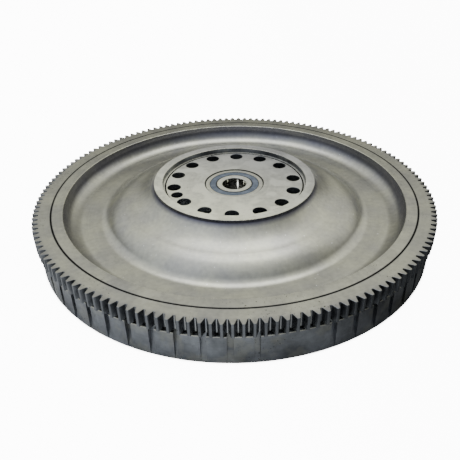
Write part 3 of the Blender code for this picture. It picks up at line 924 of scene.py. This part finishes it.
def machined(
    name,
    dark,
    light,
    roughness,
    pitch=0.0011,
    relief=0.000012,
    stains=0.0,
    pits=0.0,
    darkening=(),
    tints=(COOL, WARM),
    painted_front_light=False,
    nicks=False,
    uneven=0.03,
):
    """Turned metal: fine rings and a cloudy tone, with stains, nicks and dark pits if asked.

    Darkening is (start, end, share of light left) over a stretch of the radius. It paints shade
    into the colour at the gear's joint, under the hub's lip and at the dish's wall, and darkens
    the gear's face towards its teeth. A surface with painted front light is lighter at the front
    left than at the back right: painted light and shade.
    """
    nodes = new_material(name)
    spot, radius, rings = nodes.spot_and_rings(pitch)
    fine = nodes.noise(rings, 1.0, 2.0)
    coarse = nodes.math("MULTIPLY", nodes.noise(rings, 0.16, 2.0), 0.9)
    cloud = nodes.noise(spot, 26.0, 6.0)
    mottle = nodes.noise(spot, 210.0, 4.0)
    tone = nodes.spread(cloud, 0.36, 0.64)
    colour = nodes.mix(tone, grey(dark, tints[0]), grey(light, tints[1]))
    ring_tone = nodes.spread(nodes.math("ADD", fine, coarse), 0.6, 1.3, 0.93, 1.07)
    mottle_tone = nodes.spread(mottle, 0.3, 0.7, 0.91, 1.09)
    colour = nodes.dim(colour, nodes.math("MULTIPLY", ring_tone, mottle_tone))
    if stains:
        film = nodes.patches(spot, 44.0, 8.0, 0.50, 0.60, stains)
        colour = nodes.mix(film, colour, grey(min(light * STAIN_LIFT, 1.0), WARM))
    if nicks:
        nick = nodes.patches(spot, 330.0, 1.0, 0.765, 0.80)
        colour = nodes.mix(nick, colour, grey(NICK_TONE))
    fades = [(radius, *stretch) for stretch in darkening]
    # Painted light and shade: lighter at the front left, darker at the back right.
    if painted_front_light:
        back = nodes.vector("DOT_PRODUCT", spot, PAINTED_SHADE_TOWARDS)
        fades.append((back, -HUB_LIP_RADIUS, HUB_LIP_RADIUS, PAINTED_SHADE_LEAST))
    # Each fade paints shade, or the hub face's painted light and shade, into the colour, with a
    # bluish cast.
    for value, start, end, left in fades:
        level = nodes.spread(value, start, end, 1.0, left)
        colour = nodes.dim(colour, level, nodes.math("POWER", level, DARKENING_BLUE_POWER))
    height = fine
    rough = nodes.spread(cloud, 0.3, 0.7, roughness - uneven, roughness + uneven)
    rough = nodes.math("ADD", rough, nodes.spread(mottle, 0.3, 0.7, -0.4 * uneven, 0.6 * uneven))
    if pits:
        pitted = nodes.patches(spot, 17.0, 2.0, 0.5, 0.62, pits)
        pit = nodes.math("MULTIPLY", nodes.patches(spot, 560.0, 1.0, 0.67, 0.73), pitted)
        colour = nodes.mix(pit, colour, grey(PIT_TONE, WARM))
        height = nodes.math("SUBTRACT", fine, nodes.math("MULTIPLY", pit, PIT_DEPTH))
        rough = nodes.math("ADD", rough, nodes.math("MULTIPLY", pit, PIT_ROUGHNESS))
    nodes.surface(colour, rough, 1.0)
    nodes.relief(height, relief)
    return nodes.owner


def rough_cast(name, dark, light):
    """Iron as it left the sand mould: grainy, blotched and dull, with a rusty bloom."""
    nodes = new_material(name)
    spot = nodes.spot()
    grain = nodes.noise(spot, 420.0, 5.0)
    blotch = nodes.noise(spot, 34.0, 5.0)
    bloom = nodes.patches(spot, 60.0, 7.0, 0.56, 0.7, 0.45)
    colour = nodes.mix(nodes.spread(blotch, 0.35, 0.65), grey(dark), grey(light, WARM))
    rough = nodes.spread(grain, 0.3, 0.7, 0.55, 0.8)
    metallic = nodes.spread(bloom, 0.0, 0.45, 0.85, 0.3)
    nodes.surface(nodes.mix(bloom, colour, RUST), rough, metallic)
    nodes.relief(nodes.math("ADD", grain, nodes.math("MULTIPLY", blotch, 2.0)), 0.0004)
    return nodes.owner


def tooth_scale(name):
    """Hardened flanks: dark bluish scale that is worn through in streaks."""
    nodes = new_material(name)
    spot = nodes.spot()
    streaks = nodes.noise(nodes.vector("MULTIPLY", spot, (1.0, 1.0, 0.25)), 380.0, 4.0)
    dark, light = (grey(tone, BLUE) for tone in SCALE_TONES)
    colour = nodes.mix(nodes.patches(spot, 70.0, 4.0, 0.35, 0.65), dark, light)
    worn = nodes.spread(streaks, 0.62, 0.74, 0.0, 0.5)
    colour = nodes.mix(worn, colour, grey(SCALE_WORN_TONE))
    nodes.surface(colour, nodes.spread(streaks, 0.3, 0.7, 0.5, 0.36), 1.0)
    nodes.relief(streaks, 0.00004)
    return nodes.owner


def polished(name, dark, light, roughness):
    """Bearing balls: mirror finish with faint hairlines and an oily film in places."""
    nodes = new_material(name)
    spot = nodes.spot()
    film = nodes.noise(spot, 190.0, 4.0)
    hairs = nodes.noise(nodes.vector("MULTIPLY", spot, (1.0, 6.0, 2.0)), 900.0, 2.0)
    colour = nodes.mix(film, grey(dark), grey(light, WARM))
    nodes.surface(colour, nodes.spread(film, 0.35, 0.7, roughness, roughness * 2.5), 1.0)
    nodes.relief(hairs, 0.000001)
    return nodes.owner


def rubber(name, fresh, dusty):
    """Moulded seal rubber: fine-grained, with a greyish dusty film."""
    nodes = new_material(name)
    spot, _, rings = nodes.spot_and_rings(0.0007)
    grain = nodes.noise(spot, 2600.0, 2.0)
    ridges = nodes.noise(rings, 1.0, 1.0)
    dust = nodes.patches(spot, 150.0, 6.0, 0.42, 0.66, 0.6)
    nodes.surface(nodes.mix(dust, fresh, dusty), nodes.spread(dust, 0.0, 0.6, 0.38, 0.62), 0.0)
    nodes.relief(nodes.math("ADD", grain, ridges), 0.00003)
    return nodes.owner


def iron_finishes():
    """Materials for the disc, in the order of the finishes.

    Shade is painted into the colour under the hub's lip, at the edge of the dish's floor and up its
    wall, and along the joint with the gear.
    """
    joint = GEAR_BORE_RADIUS - GAP - BORE_EDGE
    under_lip = (HUB_LIP_RADIUS + 0.0047, HUB_LIP_RADIUS + 0.0003, 0.22)
    floor_edge = (RIM_INNER_RADIUS - 0.0206, RIM_INNER_RADIUS - 0.0116, 0.88)
    wall = (RIM_INNER_RADIUS - 0.0071, RIM_INNER_RADIUS - 0.0008, 0.36)
    return [
        machined(
            "turned_iron",
            0.40,
            0.51,
            0.34,
            stains=0.35,
            pits=0.9,
            # Painted shade along the joint with the gear.
            darkening=[(joint - 0.0008, joint + 0.0002, 0.3)],
        ),
        machined(
            "satin_iron",
            0.47,
            0.57,
            0.30,
            pitch=0.0017,
            relief=0.000008,
            stains=0.15,
            nicks=True,
            uneven=0.008,
            # Painted shade under the hub's lip, at the edge of the dish's floor and up its wall.
            darkening=[under_lip, floor_edge, wall],
        ),
        machined(
            "stained_iron", 0.15, 0.34, 0.42, pitch=0.0014, stains=0.3, pits=0.9, tints=(BLUE, BLUE)
        ),
        rough_cast("cast_iron", 0.16, 0.26),
        machined("bright_iron_edge", 0.62, 0.74, 0.26, pitch=0.0008),
        # Near-black: shade painted into the holes, grooves and the joint.
        machined("painted_shade_iron", 0.03, 0.05, 0.42, pitch=0.0009, pits=0.5),
        machined(
            "hub_face_iron",
            0.77,
            0.93,
            0.66,
            pitch=0.0013,
            stains=1.0,
            pits=0.3,
            tints=(WARM, WARM),
            # painted light and shade, lighter at the front left than at the back right
            painted_front_light=True,
        ),
    ]


def gear_finishes():
    """Materials for the ring gear: faces, tooth tips, roots, flanks, edges and bore."""
    joint = GEAR_BORE_RADIUS + BORE_EDGE
    return [
        machined(
            "turned_gear_steel",
            0.38,
            0.48,
            0.36,
            stains=0.2,
            pits=1.0,
            # Painted shade along the joint with the disc; the face also darkens towards the teeth.
            darkening=[(joint + 0.0008, joint - 0.0002, 0.3), (0.236, 0.243, 0.75)],
        ),
        machined("gear_land_steel", 0.16, 0.24, 0.36, pits=0.6, tints=(BLUE, BLUE)),
        machined("gear_root_steel", 0.42, 0.55, 0.36, pits=0.4, tints=(BLUE, COOL)),
        tooth_scale("gear_flank_scale"),
        machined("bright_gear_edge", 0.34, 0.48, 0.30, pitch=0.0008, tints=(BLUE, COOL)),
        # Near-black: shade painted into the bore and along the joint.
        machined("painted_shade_gear_steel", 0.03, 0.05, 0.42),
    ]


def ring_finishes(name, dark, light):
    """Ground faces, and polished races and bore."""
    ground = machined(
        f"{name}_ground", dark, light, 0.46, pitch=0.0005, relief=0.000004, tints=(COOL, WARM)
    )
    race = machined(f"{name}_polished", 0.60, 0.68, 0.14, pitch=0.0004, relief=0.0000015)
    return [ground, race, ground, ground, ground, ground]


# ---------------------------------------------------------------- stage


CAMERA_DISTANCE = 0.69659
CAMERA_ELEVATION = math.radians(28.967)
CAMERA_YAW = math.radians(0.3917)
CAMERA_PITCH = math.radians(33.166)
CAMERA_ROLL = math.radians(-0.8114)
CAMERA_SHIFT = (-0.01803, 0.00144)
SENSOR = 36.0
LENS = 42.913

# The light: how far its middle leans back from straight up, and how bright it is at each angle
# from its middle, in rising order of brightness
LIGHT_LEAN_DEG = 11.0
LIGHT_STOPS = (
    (180, 0.03),
    (100, 0.05),
    (85, 0.11),
    (75, 0.19),
    (60, 0.32),
    (50, 0.34),
    (40, 0.41),
    (28, 0.78),
    (18, 1.05),
    (10, 1.30),
)

# Dimmer lights round it: each one's turn to the right from straight behind the object, its rise,
# the reach of its glow and its brightness
SOFT_LIGHTS = (
    (-46, 36, 34, 0.56),
    (46, 36, 34, 0.67),
    (-112, 45, 40, 0.50),
    (180, 34, 42, 0.20),
)

# The distant light's colour, from in front of the object to behind it
TINT_DIRECTION = (0.5, 0.85, 0.0)
TINT_SPREAD = (-0.6, 0.6)
TINT_FRONT = (0.93, 0.98, 1.10)
TINT_BACK = (1.0, 1.0, 0.90)

# The softbox overhead
SOFTBOX_SPOT = (0.0, 0.42, 1.6)
SOFTBOX_SIZE = (1.3, 0.8)
SOFTBOX_POWER = 6

FLOOR_SIZE = 8.0
FLOOR_DROP = 0.0005  # keeps it clear of the faces at z = 0
FLOOR_TONES = (0.90, 0.94)
FLOOR_ROUGHNESS = 0.7
FLOOR_DIM = (-0.02, 0.18, 1.0, 0.1)  # from one x to another, the level at each
FLOOR_GLOW = 0.05
FLOOR_WHITE = 12.0  # what the camera sees of the floor and the distance
GLOW_EDGE = (-0.006, 0.002)  # the glow starts at the rim, this far in and out
GLINT_SPOT = (-0.053, -0.072)  # light from under the disc that shines up into the bore
GLINT_RADII = (0.008, 0.013)
GLINT_LEVEL = 5.0


def make_camera():
    yaw, pitch, roll = CAMERA_YAW, CAMERA_PITCH, CAMERA_ROLL
    forward = Vector(
        (math.sin(yaw) * math.cos(pitch), math.cos(yaw) * math.cos(pitch), -math.sin(pitch))
    )
    right = Vector((math.cos(yaw), -math.sin(yaw), 0.0))
    up = right.cross(forward)
    across = math.cos(roll) * right + math.sin(roll) * up
    upward = math.cos(roll) * up - math.sin(roll) * right
    data = bpy.data.cameras.new("camera")
    data.sensor_width = SENSOR
    data.lens = LENS
    data.shift_x, data.shift_y = CAMERA_SHIFT
    camera = bpy.data.objects.new("camera", data)
    bpy.context.scene.collection.objects.link(camera)
    turn = Matrix((across, upward, -forward)).transposed().to_4x4()
    spot = Vector(
        (
            0.0,
            -CAMERA_DISTANCE * math.cos(CAMERA_ELEVATION),
            RIM_TOP_Z + CAMERA_DISTANCE * math.sin(CAMERA_ELEVATION),
        )
    )
    camera.matrix_world = Matrix.Translation(spot) @ turn
    bpy.context.scene.camera = camera


def make_softbox():
    data = bpy.data.lights.new("overhead", "AREA")
    data.shape = "RECTANGLE"
    data.size, data.size_y = SOFTBOX_SIZE
    data.energy = SOFTBOX_POWER
    light = bpy.data.objects.new("overhead", data)
    bpy.context.scene.collection.objects.link(light)
    light.location = SOFTBOX_SPOT
    light.rotation_euler = (-Vector(SOFTBOX_SPOT)).to_track_quat("-Z", "Y").to_euler()


def towards(turn_deg, rise_deg):
    """A direction: its turn to the right from straight behind the object, and its rise."""
    turn, rise = math.radians(turn_deg), math.radians(rise_deg)
    return (math.sin(turn) * math.cos(rise), math.cos(turn) * math.cos(rise), math.sin(rise))


def overhead_light(nodes, direction):
    """The wide soft light overhead, which fades to a dark ground."""
    facing = nodes.vector("DOT_PRODUCT", direction, towards(0.0, 90.0 - LIGHT_LEAN_DEG))
    ramp = nodes.add("ShaderNodeValToRGB", Fac=nodes.spread(facing, -1.0, 1.0))
    elements = ramp.color_ramp.elements
    while len(elements) < len(LIGHT_STOPS):
        elements.new(0.5)
    for element, (degrees, level) in zip(elements, LIGHT_STOPS):
        element.position = (1 + math.cos(math.radians(degrees))) / 2
        element.color = grey(level)
    return ramp.outputs[0]


def soft_light(nodes, direction, turn_deg, rise_deg, reach_deg, level):
    """A soft round light in the distance."""
    facing = nodes.vector("DOT_PRODUCT", direction, towards(turn_deg, rise_deg))
    glow = nodes.add("ShaderNodeMapRange", Value=facing)
    glow.interpolation_type = "SMOOTHSTEP"
    nodes.put(glow, "From Min", math.cos(math.radians(reach_deg)))
    nodes.put(glow, "To Max", level)
    return glow.outputs[0]


def make_world():
    """The light from the distance. The camera sees a plain pale background instead of it."""
    world = bpy.data.worlds.new("studio")
    bpy.context.scene.world = world
    nodes = Nodes(world)
    nodes.tree.nodes.clear()
    direction = nodes.add("ShaderNodeTexCoord").outputs["Generated"]
    total = overhead_light(nodes, direction)
    for values in SOFT_LIGHTS:
        total = nodes.vector("ADD", total, soft_light(nodes, direction, *values))
    behind = nodes.spread(nodes.vector("DOT_PRODUCT", direction, TINT_DIRECTION), *TINT_SPREAD)
    tint = nodes.mix(behind, grey(1.0, TINT_FRONT), grey(1.0, TINT_BACK))
    light = nodes.add("ShaderNodeBackground", Color=nodes.mix(1.0, total, tint, "MULTIPLY"))
    pale = nodes.add("ShaderNodeBackground", Color=grey(1.0), Strength=FLOOR_WHITE)
    seen = nodes.add("ShaderNodeLightPath").outputs["Is Camera Ray"]
    mix = nodes.tree.nodes.new("ShaderNodeMixShader")
    for socket, value in enumerate((seen, light.outputs[0], pale.outputs[0])):
        nodes.put(mix, socket, value)
    nodes.add("ShaderNodeOutputWorld", Surface=mix.outputs[0])


def make_floor():
    """A pale floor that is darker to the right and does not glow under the disc."""
    bpy.ops.mesh.primitive_plane_add(size=FLOOR_SIZE, location=(0.0, 0.0, -FLOOR_DROP))
    floor = bpy.context.object
    floor.name = "floor"
    paint = new_material("floor_paint")
    spot = paint.spot()
    seen = paint.add("ShaderNodeLightPath").outputs["Is Camera Ray"]
    dimmed = paint.spread(paint.vector("DOT_PRODUCT", spot, (1.0, 0.0, 0.0)), *FLOOR_DIM)
    colour = paint.mix(paint.noise(spot, 3.0), *(grey(tone) for tone in FLOOR_TONES))
    paint.surface(paint.dim(colour, dimmed), FLOOR_ROUGHNESS, 0.0)
    radius = paint.vector("LENGTH", paint.vector("MULTIPLY", spot, (1.0, 1.0, 0.0)))
    outside = paint.spread(radius, *(RIM_RADIUS + reach for reach in GLOW_EDGE))
    glow = paint.math("MULTIPLY", dimmed, FLOOR_GLOW)
    glow = paint.math("ADD", glow, paint.math("MULTIPLY", seen, FLOOR_WHITE))
    glow = paint.math("MULTIPLY", glow, outside)
    offset = paint.vector("SUBTRACT", spot, (*GLINT_SPOT, 0.0))
    glint = paint.spread(paint.vector("LENGTH", offset), *GLINT_RADII, GLINT_LEVEL, 0.0)
    glint = paint.math("MULTIPLY", glint, paint.math("SUBTRACT", 1.0, seen))
    paint.put(paint.shader, "Emission Color", grey(1.0))
    paint.put(paint.shader, "Emission Strength", paint.math("ADD", glow, glint))
    paint.owner.cycles.emission_sampling = "NONE"
    floor.data.materials.append(paint.owner)


def main():
    make_camera()
    make_world()
    make_floor()
    make_softbox()
    make_disc(iron_finishes())
    make_ring_gear(gear_finishes())
    make_outer_ring(ring_finishes("outer_ring_steel", 0.64, 0.73))
    make_inner_ring(ring_finishes("inner_ring_steel", 0.79, 0.88))
    face = rubber("seal_rubber_face", *SEAL_FACE_COLOURS)
    # Near-black rubber at the lip and outer edge: shade painted into the seal's gaps.
    lip = rubber("seal_gap_shade_rubber", *SEAL_GAP_SHADE_COLOURS)
    seals = [face, face, face, face, face, lip]
    make_seal("crank_side_seal", 1, seals, "bearing_seal_crank_side")
    make_seal("clutch_side_seal", -1, seals, "bearing_seal_clutch_side")
    make_balls([polished("ball_polish", 0.70, 0.80, 0.05)] * 6)
    pressed = [machined("pressed_cage_steel", 0.42, 0.54, 0.34, pitch=0.0006, stains=0.4)] * 6
    make_cage_half("cage_crank_side", 1, pressed, "bearing_cage_crank_half")
    make_cage_half("cage_clutch_side", -1, pressed, "bearing_cage_clutch_half")
    make_rivets(pressed)


main()
